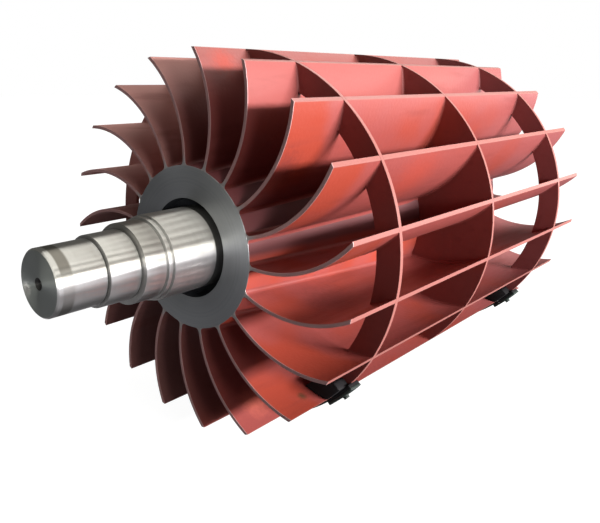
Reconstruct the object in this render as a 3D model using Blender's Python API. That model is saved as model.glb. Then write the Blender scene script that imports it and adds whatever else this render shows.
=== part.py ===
"""Impeller of a large vacuum pump: stepped shaft, coned hub, nineteen curved blades on each side of a disc."""
import math

import bmesh
import bpy

# Overall sizes in metres. The shaft runs along Y, its long bare end at the front (-Y), and the floor is Z = 0.
# Y = 0 is halfway along the shaft.
TIP_RADIUS = 0.600
BODY_LENGTH = 1.698
SHAFT_FRONT_END = 0.5226
SHAFT_BACK_END = 0.3600
SHAFT_LENGTH = SHAFT_FRONT_END + BODY_LENGTH + SHAFT_BACK_END
FRONT_FACE_Y = SHAFT_FRONT_END - SHAFT_LENGTH / 2
BACK_FACE_Y = FRONT_FACE_Y + BODY_LENGTH
FIT_GAP = 0.0003

# Sides of the faceted rounds, and the angle from which an edge shows as sharp.
ROUND_SIDES = 76
SHAFT_SIDES = 48
SHARP_EDGE_ANGLE = math.radians(25)

# Blades, rolled from plate to a single bend radius.
BLADE_COUNT = 19
BLADE_THICKNESS = 0.0105
BLADE_BEND_RADIUS = 0.378
BLADE_BEND_CENTRE = 0.474
CONE_STRIPS = 3
OPEN_STRIPS = 5
TIP_STRIPS = 3
BLADE_PITCH = math.radians(360 / BLADE_COUNT)

# Centre disc and the two stiffening rings let into the blades.
DISC_Y = FRONT_FACE_Y + 0.8286
DISC_THICKNESS = 0.012
FRONT_RING_Y = FRONT_FACE_Y + 0.2265
BACK_RING_Y = FRONT_FACE_Y + 1.4706
RING_THICKNESS = 0.014
RING_INNER_RADIUS = 0.528

# Hub, a double cone with a short straight land under the disc.
HUB_FACE_RADIUS = 0.258
HUB_LAND_RADIUS = 0.344
HUB_LAND_HALF_WIDTH = 0.018
HUB_RECESS_RADIUS = 0.1575
HUB_RECESS_DEPTH = 0.050

# Shaft diameters, from the front end to the part that carries the hub.
SHAFT_END_RADIUS = 0.0942
SHAFT_SECOND_RADIUS = 0.1026
SHAFT_THIRD_RADIUS = 0.1188
SHAFT_COLLAR_RADIUS = 0.1242
SHAFT_HUB_RADIUS = 0.129
SHAFT_CHAMFER = 0.0054
CENTRE_HOLE_RADIUS = 0.0096
CENTRE_HOLE_MOUTH_RADIUS = 0.018
CENTRE_HOLE_MOUTH_DEPTH = 0.0084
CENTRE_HOLE_DRILL_DEPTH = 0.0352
CENTRE_HOLE_DEPTH = 0.040

# Distances of the shaft's shoulders from the hub's face, the same at both ends.
FIRST_SHOULDER = 0.3654
SECOND_SHOULDER = 0.2586
THIRD_SHOULDER = 0.1818
COLLAR_WIDTH = 0.0132
GROOVE_WIDTH = 0.0054
GROOVE_DEPTH = 0.0026

# Cradles that hold the two rings up off the floor: a steel strap with thicker ends and a foot, lined with
# rubber that thickens to a pad at each end. Angles are from straight down.
CRADLE_HALF_ANGLE = math.radians(53.0)
CRADLE_HALF_WIDTH = 0.025
STRAP_THICKNESS = 0.0034
END_THICKNESS = 0.0079
END_ANGLE = math.radians(10.0)
LINING_THICKNESS = 0.0024
PAD_THICKNESS = 0.0095
PAD_ANGLE = math.radians(9.5)
FOOT_HALF_WIDTH = 0.160
FOOT_TOP_ANGLE = math.radians(24.0)
FLOOR_CLEARANCE = 0.0306

# Rubber chocks in the pocket over each cradle's right end, between a blade and the front of the ring.
CHOCK_BLADE = 17
CHOCK_INNER_RADIUS = 0.532
CHOCK_SHOULDER_RADIUS = 0.574
CHOCK_TOP_ANGLE = math.radians(-43.5)
CHOCK_END_ANGLE = math.radians(-38.0)
CHOCK_LENGTH = 0.052
CHOCK_FACE_STEPS = 4
ARC_STEP_ANGLE = math.radians(2.34)

# The first blade is the one just above the shaft's level on the right, seen from the front.
FIRST_BLADE_ANGLE = math.radians(12.0)
STRAIGHT_DOWN = math.radians(-90)
LINING_INNER = TIP_RADIUS + FIT_GAP
LINING_OUTER = LINING_INNER + LINING_THICKNESS
PAD_OUTER = LINING_INNER + PAD_THICKNESS
STRAP_OUTER = LINING_OUTER + FIT_GAP + STRAP_THICKNESS
END_OUTER = PAD_OUTER + FIT_GAP + END_THICKNESS
AXIS_HEIGHT = TIP_RADIUS + FLOOR_CLEARANCE


def clear_scene():
    """Remove whatever the start-up scene holds."""
    for thing in list(bpy.data.objects):
        bpy.data.objects.remove(thing, do_unlink=True)


def surface(name, colour, roughness, metallic):
    """A plain Principled material."""
    material = bpy.data.materials.new(name)
    material.use_nodes = True
    shader = material.node_tree.nodes["Principled BSDF"]
    shader.inputs["Base Color"].default_value = (*colour, 1.0)
    shader.inputs["Roughness"].default_value = roughness
    shader.inputs["Metallic"].default_value = metallic
    material.diffuse_color = (*colour, 1.0)
    return material


def solid(name, vertices, faces, material):
    """A closed mesh from vertex positions and faces, with its faces turned outward."""
    mesh = bpy.data.meshes.new(name)
    mesh.from_pydata(vertices, [], faces)
    body = bmesh.new()
    body.from_mesh(mesh)
    bmesh.ops.recalc_face_normals(body, faces=body.faces)
    body.to_mesh(mesh)
    body.free()
    mesh.materials.append(material)
    return mesh


def place(name, mesh, turn=0.0, round_piece=True):
    """Put a mesh on the shaft axis, turned counter-clockwise as seen from the front."""
    piece = bpy.data.objects.new(name, mesh)
    bpy.context.scene.collection.objects.link(piece)
    piece.location = (0.0, 0.0, AXIS_HEIGHT)
    piece.rotation_euler = (0.0, -turn, 0.0)
    if round_piece:
        mesh.shade_smooth()
        mesh.set_sharp_from_angle(angle=SHARP_EDGE_ANGLE)
    return piece


def turned(name, profile, material, closed, sides=ROUND_SIDES):
    """Turn a profile of (radius, y) points round the shaft axis.

    A closed profile makes a ring. An open one starts and ends on the axis.
    """
    vertices = []
    rows = []
    for radius, y in profile:
        if radius == 0.0:
            rows.append([len(vertices)] * sides)
            vertices.append((0.0, y, 0.0))
            continue
        rows.append([len(vertices) + side for side in range(sides)])
        for side in range(sides):
            angle = 2 * math.pi * side / sides
            vertices.append((radius * math.cos(angle), y, radius * math.sin(angle)))
    pairs = list(zip(rows, rows[1:]))
    if closed:
        pairs.append((rows[-1], rows[0]))
    faces = []
    for lower, upper in pairs:
        for side in range(sides):
            after = (side + 1) % sides
            corners = [lower[side], lower[after], upper[after], upper[side]]
            faces.append(list(dict.fromkeys(corners)))
    return solid(name, vertices, faces, material)


def washer(name, inner, outer, y, thickness, material):
    """A flat ring of plate, square to the shaft."""
    front = y - thickness / 2
    back = y + thickness / 2
    profile = [(inner, front), (outer, front), (outer, back), (inner, back)]
    return turned(name, profile, material, closed=True)


def half_shaft(side, end_distance, diameters):
    """Profile of one bare end of the shaft, from its centre hole to the hub's face."""
    face = FRONT_FACE_Y if side < 0 else BACK_FACE_Y
    end = face + side * end_distance
    first_radius = diameters[0][0]
    profile = [
        (0.0, end - side * CENTRE_HOLE_DEPTH),
        (CENTRE_HOLE_RADIUS, end - side * CENTRE_HOLE_DRILL_DEPTH),
        (CENTRE_HOLE_RADIUS, end - side * CENTRE_HOLE_MOUTH_DEPTH),
        (CENTRE_HOLE_MOUTH_RADIUS, end),
        (first_radius - SHAFT_CHAMFER, end),
        (first_radius, end - side * SHAFT_CHAMFER),
    ]
    for (radius, shoulder), (next_radius, _) in zip(diameters, diameters[1:]):
        step = face + side * shoulder
        profile.append((radius, step + side * GROOVE_WIDTH))
        profile.append((radius - GROOVE_DEPTH, step + side * GROOVE_WIDTH))
        profile.append((radius - GROOVE_DEPTH, step))
        profile.append((next_radius, step))
    return profile


def shaft_profile():
    """Whole shaft, stepped down at both ends from the length that carries the hub."""
    steps = [
        (SHAFT_SECOND_RADIUS, SECOND_SHOULDER),
        (SHAFT_THIRD_RADIUS, THIRD_SHOULDER),
        (SHAFT_COLLAR_RADIUS, THIRD_SHOULDER - COLLAR_WIDTH - GROOVE_WIDTH),
        (SHAFT_HUB_RADIUS, 0.0),
    ]
    front = half_shaft(-1, SHAFT_FRONT_END, [(SHAFT_END_RADIUS, FIRST_SHOULDER)] + steps)
    back = half_shaft(1, SHAFT_BACK_END, steps)
    return front + back[::-1]


def hub_profile():
    """Double cone with a bore for the shaft and a recess round the shaft at each face."""
    bore = SHAFT_HUB_RADIUS + FIT_GAP
    return [
        (HUB_FACE_RADIUS, FRONT_FACE_Y),
        (HUB_LAND_RADIUS, DISC_Y - HUB_LAND_HALF_WIDTH),
        (HUB_LAND_RADIUS, DISC_Y + HUB_LAND_HALF_WIDTH),
        (HUB_FACE_RADIUS, BACK_FACE_Y),
        (HUB_RECESS_RADIUS, BACK_FACE_Y),
        (HUB_RECESS_RADIUS, BACK_FACE_Y - HUB_RECESS_DEPTH),
        (bore, BACK_FACE_Y - HUB_RECESS_DEPTH),
        (bore, FRONT_FACE_Y + HUB_RECESS_DEPTH),
        (HUB_RECESS_RADIUS, FRONT_FACE_Y + HUB_RECESS_DEPTH),
        (HUB_RECESS_RADIUS, FRONT_FACE_Y),
    ]


def blade_angle(radius):
    """Angle of the bent plate's middle at a radius, with its tip at angle zero."""
    def from_bend_centre(at):
        cosine = (at ** 2 + BLADE_BEND_CENTRE ** 2 - BLADE_BEND_RADIUS ** 2) / (2 * at * BLADE_BEND_CENTRE)
        return math.acos(cosine)
    return from_bend_centre(TIP_RADIUS) - from_bend_centre(radius)


def blade_half_angle(radius):
    """Half the blade's thickness, as an angle round the shaft."""
    cosine = (radius ** 2 + BLADE_BEND_RADIUS ** 2 - BLADE_BEND_CENTRE ** 2) / (2 * radius * BLADE_BEND_RADIUS)
    across = math.sin(math.acos(cosine))
    return BLADE_THICKNESS / 2 / radius / across


def blade_mesh(name, end_y, disc_y, ring_y, material):
    """One blade between an open end and the disc, with a notch for the ring.

    The plate is laid out flat as strips between two radii, each strip running along the shaft.
    Its two sides are that layout bent to the blade's curve, joined round the edge.
    """
    inward = 1 if disc_y > end_y else -1
    disc_edge = disc_y - inward * (DISC_THICKNESS / 2 + FIT_GAP)
    land_edge = DISC_Y - inward * HUB_LAND_HALF_WIDTH
    root = HUB_FACE_RADIUS + FIT_GAP
    land = HUB_LAND_RADIUS + FIT_GAP
    notch = RING_INNER_RADIUS * math.cos(math.pi / ROUND_SIDES) - FIT_GAP
    notch_near = ring_y - inward * (RING_THICKNESS / 2 + FIT_GAP)
    notch_far = ring_y + inward * (RING_THICKNESS / 2 + FIT_GAP)

    def cone_y(radius):
        share = (radius - root) / (land - root)
        return end_y + share * (land_edge - end_y)

    def spread(low, high, count):
        return [low + (high - low) * step / count for step in range(count)]

    cone_radii = spread(root, land, CONE_STRIPS)
    open_radii = spread(land, notch, OPEN_STRIPS)
    tip_radii = spread(notch, TIP_RADIUS, TIP_STRIPS) + [TIP_RADIUS]

    flat = {}
    strips = []

    def corner(radius, y):
        return flat.setdefault((round(radius, 6), round(y, 6)), len(flat))

    for low, high in zip(cone_radii, cone_radii[1:] + [land]):
        outline = [corner(low, end_y), corner(low, cone_y(low)), corner(high, cone_y(high)), corner(high, end_y)]
        strips.append(list(dict.fromkeys(outline)))
    first_open = open_radii[0]
    for low, high in zip(open_radii, open_radii[1:] + [notch]):
        outline = [corner(low, end_y)]
        if low == first_open:
            outline.append(corner(low, cone_y(low)))
        outline.append(corner(low, disc_edge))
        outline.append(corner(high, disc_edge))
        if high == notch:
            outline.append(corner(high, notch_far))
            outline.append(corner(high, notch_near))
        outline.append(corner(high, end_y))
        strips.append(outline)
    for low, high in zip(tip_radii, tip_radii[1:]):
        for near, far in ((end_y, notch_near), (notch_far, disc_edge)):
            strips.append([corner(low, near), corner(low, far), corner(high, far), corner(high, near)])

    vertices = []
    for side in (-1, 1):
        for radius, y in flat:
            angle = blade_angle(radius) + side * blade_half_angle(radius)
            vertices.append((radius * math.cos(angle), y, radius * math.sin(angle)))
    count = len(flat)
    faces = list(strips)
    faces += [[index + count for index in reversed(outline)] for outline in strips]
    used = {}
    for outline in strips:
        for start, stop in zip(outline, outline[1:] + outline[:1]):
            used[(start, stop)] = True
    for start, stop in used:
        if (stop, start) not in used:
            faces.append([stop, start, start + count, stop + count])
    return solid(name, vertices, faces, material)


def extruded(name, outline, y, half_width, material):
    """A flat outline of (x, z) points, given thickness along the shaft."""
    count = len(outline)
    vertices = [(x, y - half_width, z) for x, z in outline]
    vertices += [(x, y + half_width, z) for x, z in outline]
    faces = [list(range(count)), [count + index for index in reversed(range(count))]]
    for index in range(count):
        after = (index + 1) % count
        faces.append([index, after, after + count, index + count])
    return solid(name, vertices, faces, material)


def arc(radius, start, stop):
    """Points of (x, z) along an arc under the shaft, between two angles from straight down."""
    steps = math.ceil(abs(stop - start) / ARC_STEP_ANGLE)
    points = []
    for step in range(steps + 1):
        angle = STRAIGHT_DOWN + start + (stop - start) * step / steps
        points.append((radius * math.cos(angle), radius * math.sin(angle)))
    return points


def mirrored(points):
    """The same points on the other side of the shaft, in the other order."""
    return [(-x, z) for x, z in reversed(points)]


def lining_outline():
    """Section of a cradle's rubber lining, with a thicker pad at each end."""
    inner = arc(LINING_INNER, -CRADLE_HALF_ANGLE, CRADLE_HALF_ANGLE)
    pad_start = CRADLE_HALF_ANGLE - PAD_ANGLE
    pad = arc(PAD_OUTER, CRADLE_HALF_ANGLE, pad_start)
    middle = arc(LINING_OUTER, pad_start, -pad_start)
    return inner + pad + middle + mirrored(pad)


def cradle_outline():
    """Section of a cradle: a strap round the lining, a thicker piece at each end and a foot."""
    pad_start = CRADLE_HALF_ANGLE - PAD_ANGLE - FIT_GAP / TIP_RADIUS
    pad_seat = arc(PAD_OUTER + FIT_GAP, pad_start, CRADLE_HALF_ANGLE)
    middle_seat = arc(LINING_OUTER + FIT_GAP, -pad_start, pad_start)
    end_start = CRADLE_HALF_ANGLE - END_ANGLE
    outer = arc(END_OUTER, CRADLE_HALF_ANGLE, end_start)
    outer += arc(STRAP_OUTER, end_start, FOOT_TOP_ANGLE)
    outer.append((FOOT_HALF_WIDTH, -AXIS_HEIGHT))
    return mirrored(pad_seat) + middle_seat + pad_seat + outer + mirrored(outer)


def around(radius, angle):
    """A point of (x, z) at a radius and an angle from straight right."""
    return (radius * math.cos(angle), radius * math.sin(angle))


def chock_outline():
    """Section of a chock that fills the corner between a blade's upper side and the cradle's lining."""
    outer = LINING_INNER - FIT_GAP
    turn = FIRST_BLADE_ANGLE + (CHOCK_BLADE - 1) * BLADE_PITCH
    outline = []
    for step in range(CHOCK_FACE_STEPS + 1):
        radius = CHOCK_INNER_RADIUS + (outer - CHOCK_INNER_RADIUS) * step / CHOCK_FACE_STEPS
        side = blade_angle(radius) + blade_half_angle(radius) + 2 * FIT_GAP / radius
        outline.append(around(radius, turn + side))
    last = math.atan2(outline[-1][1], outline[-1][0])
    steps = math.ceil((CHOCK_END_ANGLE - last) / ARC_STEP_ANGLE)
    for step in range(1, steps + 1):
        outline.append(around(outer, last + (CHOCK_END_ANGLE - last) * step / steps))
    outline.append(around(CHOCK_SHOULDER_RADIUS, CHOCK_END_ANGLE))
    outline.append(around(CHOCK_INNER_RADIUS, CHOCK_TOP_ANGLE))
    return outline


clear_scene()

red_primer = surface("red_primer", (0.52, 0.085, 0.055), 0.55, 0.0)
bare_steel = surface("bright_steel", (0.62, 0.61, 0.60), 0.22, 1.0)
hub_steel = surface("hub_steel", (0.20, 0.19, 0.19), 0.50, 0.6)
black_rubber = surface("black_rubber", (0.012, 0.012, 0.013), 0.80, 0.0)
green_paint = surface("green_paint", (0.02, 0.07, 0.05), 0.60, 0.0)

place("shaft", turned("shaft", shaft_profile(), bare_steel, closed=False, sides=SHAFT_SIDES))
place("hub", turned("hub", hub_profile(), hub_steel, closed=True))

disc_bore = (HUB_LAND_RADIUS + FIT_GAP) / math.cos(math.pi / ROUND_SIDES)
place("centre_disc", washer("centre_disc", disc_bore, TIP_RADIUS, DISC_Y, DISC_THICKNESS, red_primer))
for ring_name, ring_y in (("front_ring", FRONT_RING_Y), ("back_ring", BACK_RING_Y)):
    place(ring_name, washer(ring_name, RING_INNER_RADIUS, TIP_RADIUS, ring_y, RING_THICKNESS, red_primer))

front_blade = blade_mesh("front_blade", FRONT_FACE_Y, DISC_Y, FRONT_RING_Y, red_primer)
back_blade = blade_mesh("back_blade", BACK_FACE_Y, DISC_Y, BACK_RING_Y, red_primer)
for number in range(BLADE_COUNT):
    turn = FIRST_BLADE_ANGLE + number * BLADE_PITCH
    place(f"front_blade_{number + 1:02d}", front_blade, turn)
    place(f"back_blade_{number + 1:02d}", back_blade, turn)

for end_name, ring_y in (("front", FRONT_RING_Y), ("back", BACK_RING_Y)):
    lining_name = f"{end_name}_cradle_lining"
    lining = extruded(lining_name, lining_outline(), ring_y, CRADLE_HALF_WIDTH, black_rubber)
    place(lining_name, lining)
    cradle_name = f"{end_name}_cradle"
    cradle = extruded(cradle_name, cradle_outline(), ring_y, CRADLE_HALF_WIDTH, green_paint)
    place(cradle_name, cradle)
    chock_name = f"{end_name}_chock"
    chock_y = ring_y - RING_THICKNESS / 2 - FIT_GAP - CHOCK_LENGTH / 2
    chock = extruded(chock_name, chock_outline(), chock_y, CHOCK_LENGTH / 2, black_rubber)
    place(chock_name, chock)
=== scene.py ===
import math

import bmesh
import bpy
from mathutils import Matrix, Vector


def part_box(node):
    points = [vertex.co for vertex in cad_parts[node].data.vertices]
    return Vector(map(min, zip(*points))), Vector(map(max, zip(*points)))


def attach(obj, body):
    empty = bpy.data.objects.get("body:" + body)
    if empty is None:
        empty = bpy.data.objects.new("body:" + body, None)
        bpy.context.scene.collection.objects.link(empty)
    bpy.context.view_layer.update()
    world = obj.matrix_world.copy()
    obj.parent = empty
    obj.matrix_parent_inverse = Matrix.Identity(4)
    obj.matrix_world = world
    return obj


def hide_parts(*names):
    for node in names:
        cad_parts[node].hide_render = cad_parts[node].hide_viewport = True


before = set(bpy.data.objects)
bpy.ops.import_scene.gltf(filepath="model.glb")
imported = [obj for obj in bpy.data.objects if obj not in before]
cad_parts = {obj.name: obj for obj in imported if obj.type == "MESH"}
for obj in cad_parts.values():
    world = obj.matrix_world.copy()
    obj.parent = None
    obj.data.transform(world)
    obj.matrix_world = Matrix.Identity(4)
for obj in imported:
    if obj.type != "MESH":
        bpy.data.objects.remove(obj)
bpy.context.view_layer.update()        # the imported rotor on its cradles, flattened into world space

# Sizes read from the frame, in metres. The shaft runs along Y, its long bare end at the front (-Y).
shaft_low, shaft_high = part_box("shaft")
hub_low, hub_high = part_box("hub")
disc_low, disc_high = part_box("centre_disc")
AXIS_HEIGHT = (shaft_low.z + shaft_high.z) / 2
FRONT_FACE_Y = hub_low.y
BACK_FACE_Y = hub_high.y
SHAFT_FRONT_END = FRONT_FACE_Y - shaft_low.y
SHAFT_BACK_END = shaft_high.y - BACK_FACE_Y
SHAFT_FRONT_Y = shaft_low.y
SHAFT_HALF_LENGTH = (shaft_high.y - shaft_low.y) / 2
SHAFT_HUB_RADIUS = (shaft_high.z - shaft_low.z) / 2
HUB_LAND_RADIUS = (hub_high.z - hub_low.z) / 2
TIP_RADIUS = (disc_high.z - disc_low.z) / 2
DISC_Y = (disc_low.y + disc_high.y) / 2
DISC_HALF = (disc_high.y - disc_low.y) / 2

# Sizes that no box of the frame gives.
HUB_FACE_RADIUS = 0.258
HUB_LAND_HALF_WIDTH = 0.018
HUB_RECESS_RADIUS = 0.1575
HUB_RECESS_DEPTH = 0.050
RING_INNER_RADIUS = 0.528
SHAFT_END_RADIUS = 0.0942
SHAFT_SECOND_RADIUS = 0.1026
SHAFT_THIRD_RADIUS = 0.1188
SHAFT_COLLAR_RADIUS = 0.1242
SHAFT_CHAMFER = 0.0054
FIRST_SHOULDER = 0.3654
SECOND_SHOULDER = 0.2586
THIRD_SHOULDER = 0.1818
COLLAR_WIDTH = 0.0132
GROOVE_WIDTH = 0.0054
GROOVE_DEPTH = 0.0026
CENTRE_HOLE_RADIUS = 0.0096
CENTRE_HOLE_MOUTH_RADIUS = 0.018
CENTRE_HOLE_MOUTH_DEPTH = 0.0084
CENTRE_HOLE_DRILL_DEPTH = 0.0352
CENTRE_HOLE_DEPTH = 0.040
FIT_GAP = 0.0003

# Cradles: a strap with thicker ends and a foot, lined with rubber. Angles are from straight down.
STRAIGHT_DOWN = math.radians(-90.0)
CRADLE_HALF_ANGLE = math.radians(53.0)
STRAP_THICKNESS = 0.0034
END_THICKNESS = 0.0079
END_ANGLE = math.radians(10.0)
LINING_THICKNESS = 0.0024
PAD_THICKNESS = 0.0095
PAD_ANGLE = math.radians(9.5)
FOOT_HALF_WIDTH = 0.160
FOOT_TOP_ANGLE = math.radians(24.0)
LINING_INNER = TIP_RADIUS + FIT_GAP
LINING_OUTER = LINING_INNER + LINING_THICKNESS
PAD_OUTER = LINING_INNER + PAD_THICKNESS
STRAP_OUTER = LINING_OUTER + FIT_GAP + STRAP_THICKNESS
END_OUTER = PAD_OUTER + FIT_GAP + END_THICKNESS
LINING_EDGE_BREAK = 0.0008
BENT_STEP = math.radians(1.5)

# Clamp bolts through the cradles' ends: hexagon heads on washers, sizes of an M10 bolt.
HEXAGON = 6
BOLT_HEAD_RADIUS = 0.0098
BOLT_HEAD_HEIGHT = 0.0064
WASHER_STEPS = 36
WASHER_RADIUS = 0.0105
WASHER_THICKNESS = 0.0020
BOLT_EDGE_BREAK = 0.0007

# Chocks over each cradle's right end, between a blade's upper side and the lining. Angles are
# from straight right.
CHOCK_BLADE = 17
CHOCK_INNER_RADIUS = 0.532
CHOCK_SHOULDER_RADIUS = 0.574
CHOCK_TOP_ANGLE = math.radians(-43.5)
CHOCK_END_ANGLE = math.radians(-38.0)
CHOCK_FACE_STEPS = 4
CHOCK_EDGE_BREAK = 0.0035

# Blades of plate rolled to one radius, whose centre is given from the shaft's line. The first one's
# tip is given from straight right.
BLADE_COUNT = 19
BLADE_THICKNESS = 0.0105
BLADE_BEND_RADIUS = 0.378
BLADE_BEND_CENTRE = 0.474
BLADE_PITCH = math.radians(360 / BLADE_COUNT)
FIRST_BLADE_ANGLE = math.radians(12.0)

# How finely round shapes are cut, how far edges are broken and how close points are merged.
ROUND_STEPS = 228
BEND_STEPS = 30
WELD_STEPS = 12
WELD_CURVE_STEPS = 4
EDGE_BREAK = 0.0012
SAME_PLACE = 0.00001
SAME_PLACE_ON_BLADE = 0.00005
SHARP_EDGE_ANGLE = math.radians(40)

# Fillet welds: their legs, how far they reach into the plate, and where they start and stop.
HUB_WELD_LEG = 0.011
DISC_WELD_LEG = 0.007
RING_WELD_LEG = 0.005
WELD_ROOT = 0.001
DISC_WELD_STOP = TIP_RADIUS - 0.006
RING_WELD_START = RING_INNER_RADIUS + 0.004
RING_WELD_STOP = TIP_RADIUS - 0.005

SHAFT_LINE = Vector((0.0, 0.0, AXIS_HEIGHT))
ALONG_SHAFT = Vector((0.0, 1.0, 0.0))


# Pieces into the scene

def finished(name, shape, material, slot, nodes=()):
    """Link a modelled shape as a piece of the rotor that stands for its plain nodes."""
    mesh = bpy.data.meshes.new(name)
    shape.to_mesh(mesh)
    shape.free()
    mesh.shade_smooth()
    mesh.set_sharp_from_angle(angle=SHARP_EDGE_ANGLE)
    mesh.materials.append(material)
    piece = bpy.data.objects.new(name, mesh)
    bpy.context.scene.collection.objects.link(piece)
    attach(piece, "root")
    if nodes:
        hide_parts(*nodes)
    return piece


def even_shading(piece):
    """Let the broad faces of plate set the shading of its broken edges."""
    weights = piece.modifiers.new("even_shading", "WEIGHTED_NORMAL")
    weights.keep_sharp = True


# Turned pieces

def profile_wire(shape, points, closed):
    """A wire through points of (radius, y), beside the shaft's line."""
    corners = [shape.verts.new((radius, y, AXIS_HEIGHT)) for radius, y in points]
    for start, stop in zip(corners, corners[1:]):
        shape.edges.new((start, stop))
    if closed:
        shape.edges.new((corners[-1], corners[0]))
    return corners


def turned(points, closed, edge_break=EDGE_BREAK):
    """Turn a profile round the shaft's line, with its corners broken."""
    shape = bmesh.new()
    corners = profile_wire(shape, points, closed)
    broken = corners if closed else corners[1:-1]
    bmesh.ops.bevel(
        shape, geom=broken, affect="VERTICES", offset=edge_break, segments=3, profile=0.5,
        material=-1, clamp_overlap=True,
    )
    bmesh.ops.spin(
        shape, geom=shape.verts[:] + shape.edges[:], cent=SHAFT_LINE, axis=ALONG_SHAFT,
        angle=math.radians(360), steps=ROUND_STEPS, use_merge=True,
    )
    bmesh.ops.remove_doubles(shape, verts=shape.verts[:], dist=SAME_PLACE)
    bmesh.ops.recalc_face_normals(shape, faces=shape.faces[:])
    return shape


def half_shaft(side, end_distance, diameters):
    """Profile of one bare end of the shaft, from its centre hole to the hub's face."""
    face = FRONT_FACE_Y if side < 0 else BACK_FACE_Y
    end = face + side * end_distance
    first_radius = diameters[0][0]
    profile = [
        (0.0, end - side * CENTRE_HOLE_DEPTH),
        (CENTRE_HOLE_RADIUS, end - side * CENTRE_HOLE_DRILL_DEPTH),
        (CENTRE_HOLE_RADIUS, end - side * CENTRE_HOLE_MOUTH_DEPTH),
        (CENTRE_HOLE_MOUTH_RADIUS, end),
        (first_radius - SHAFT_CHAMFER, end),
        (first_radius, end - side * SHAFT_CHAMFER),
    ]
    for (radius, shoulder), (next_radius, _) in zip(diameters, diameters[1:]):
        step = face + side * shoulder
        profile.append((radius, step + side * GROOVE_WIDTH))
        profile.append((radius - GROOVE_DEPTH, step + side * GROOVE_WIDTH))
        profile.append((radius - GROOVE_DEPTH, step))
        profile.append((next_radius, step))
    return profile


def shaft_shape():
    """Whole shaft, stepped down at both ends from the length that carries the hub."""
    steps = [
        (SHAFT_SECOND_RADIUS, SECOND_SHOULDER),
        (SHAFT_THIRD_RADIUS, THIRD_SHOULDER),
        (SHAFT_COLLAR_RADIUS, THIRD_SHOULDER - COLLAR_WIDTH - GROOVE_WIDTH),
        (SHAFT_HUB_RADIUS, 0.0),
    ]
    front = half_shaft(-1, SHAFT_FRONT_END, [(SHAFT_END_RADIUS, FIRST_SHOULDER)] + steps)
    back = half_shaft(1, SHAFT_BACK_END, steps)
    return turned(front + back[::-1], closed=False)


def hub_shape():
    """Double cone with a recess round the shaft at each face."""
    return turned([
        (HUB_FACE_RADIUS, FRONT_FACE_Y),
        (HUB_LAND_RADIUS, DISC_Y - HUB_LAND_HALF_WIDTH),
        (HUB_LAND_RADIUS, DISC_Y + HUB_LAND_HALF_WIDTH),
        (HUB_FACE_RADIUS, BACK_FACE_Y),
        (HUB_RECESS_RADIUS, BACK_FACE_Y),
        (HUB_RECESS_RADIUS, BACK_FACE_Y - HUB_RECESS_DEPTH),
        (SHAFT_HUB_RADIUS, BACK_FACE_Y - HUB_RECESS_DEPTH),
        (SHAFT_HUB_RADIUS, FRONT_FACE_Y + HUB_RECESS_DEPTH),
        (HUB_RECESS_RADIUS, FRONT_FACE_Y + HUB_RECESS_DEPTH),
        (HUB_RECESS_RADIUS, FRONT_FACE_Y),
    ], closed=True)


def washer_shape(inner, outer, front, back):
    """A flat ring of plate, square to the shaft."""
    return turned([(inner, front), (outer, front), (outer, back), (inner, back)], closed=True)


# Blades

def bend_angle(radius):
    """Angle at the bend's centre between the line to the shaft and a point of the plate's middle."""
    cosine = (BLADE_BEND_RADIUS ** 2 + BLADE_BEND_CENTRE ** 2 - radius ** 2) / (
        2 * BLADE_BEND_RADIUS * BLADE_BEND_CENTRE)
    return math.acos(cosine)


def half_thickness_angle(radius):
    """Half the plate's thickness, as an angle round the shaft."""
    cosine = (radius ** 2 + BLADE_BEND_RADIUS ** 2 - BLADE_BEND_CENTRE ** 2) / (
        2 * radius * BLADE_BEND_RADIUS)
    return BLADE_THICKNESS / 2 / radius / math.sin(math.acos(cosine))


def from_shaft(point):
    """Distance of a point from the shaft's line."""
    return math.hypot(point.x, point.z - AXIS_HEIGHT)


def turn_about_shaft(angle):
    """Counter-clockwise turn about the shaft's line, seen from the front."""
    to_line = Matrix.Translation(SHAFT_LINE)
    return to_line @ Matrix.Rotation(-angle, 4, "Y") @ to_line.inverted()


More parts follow.
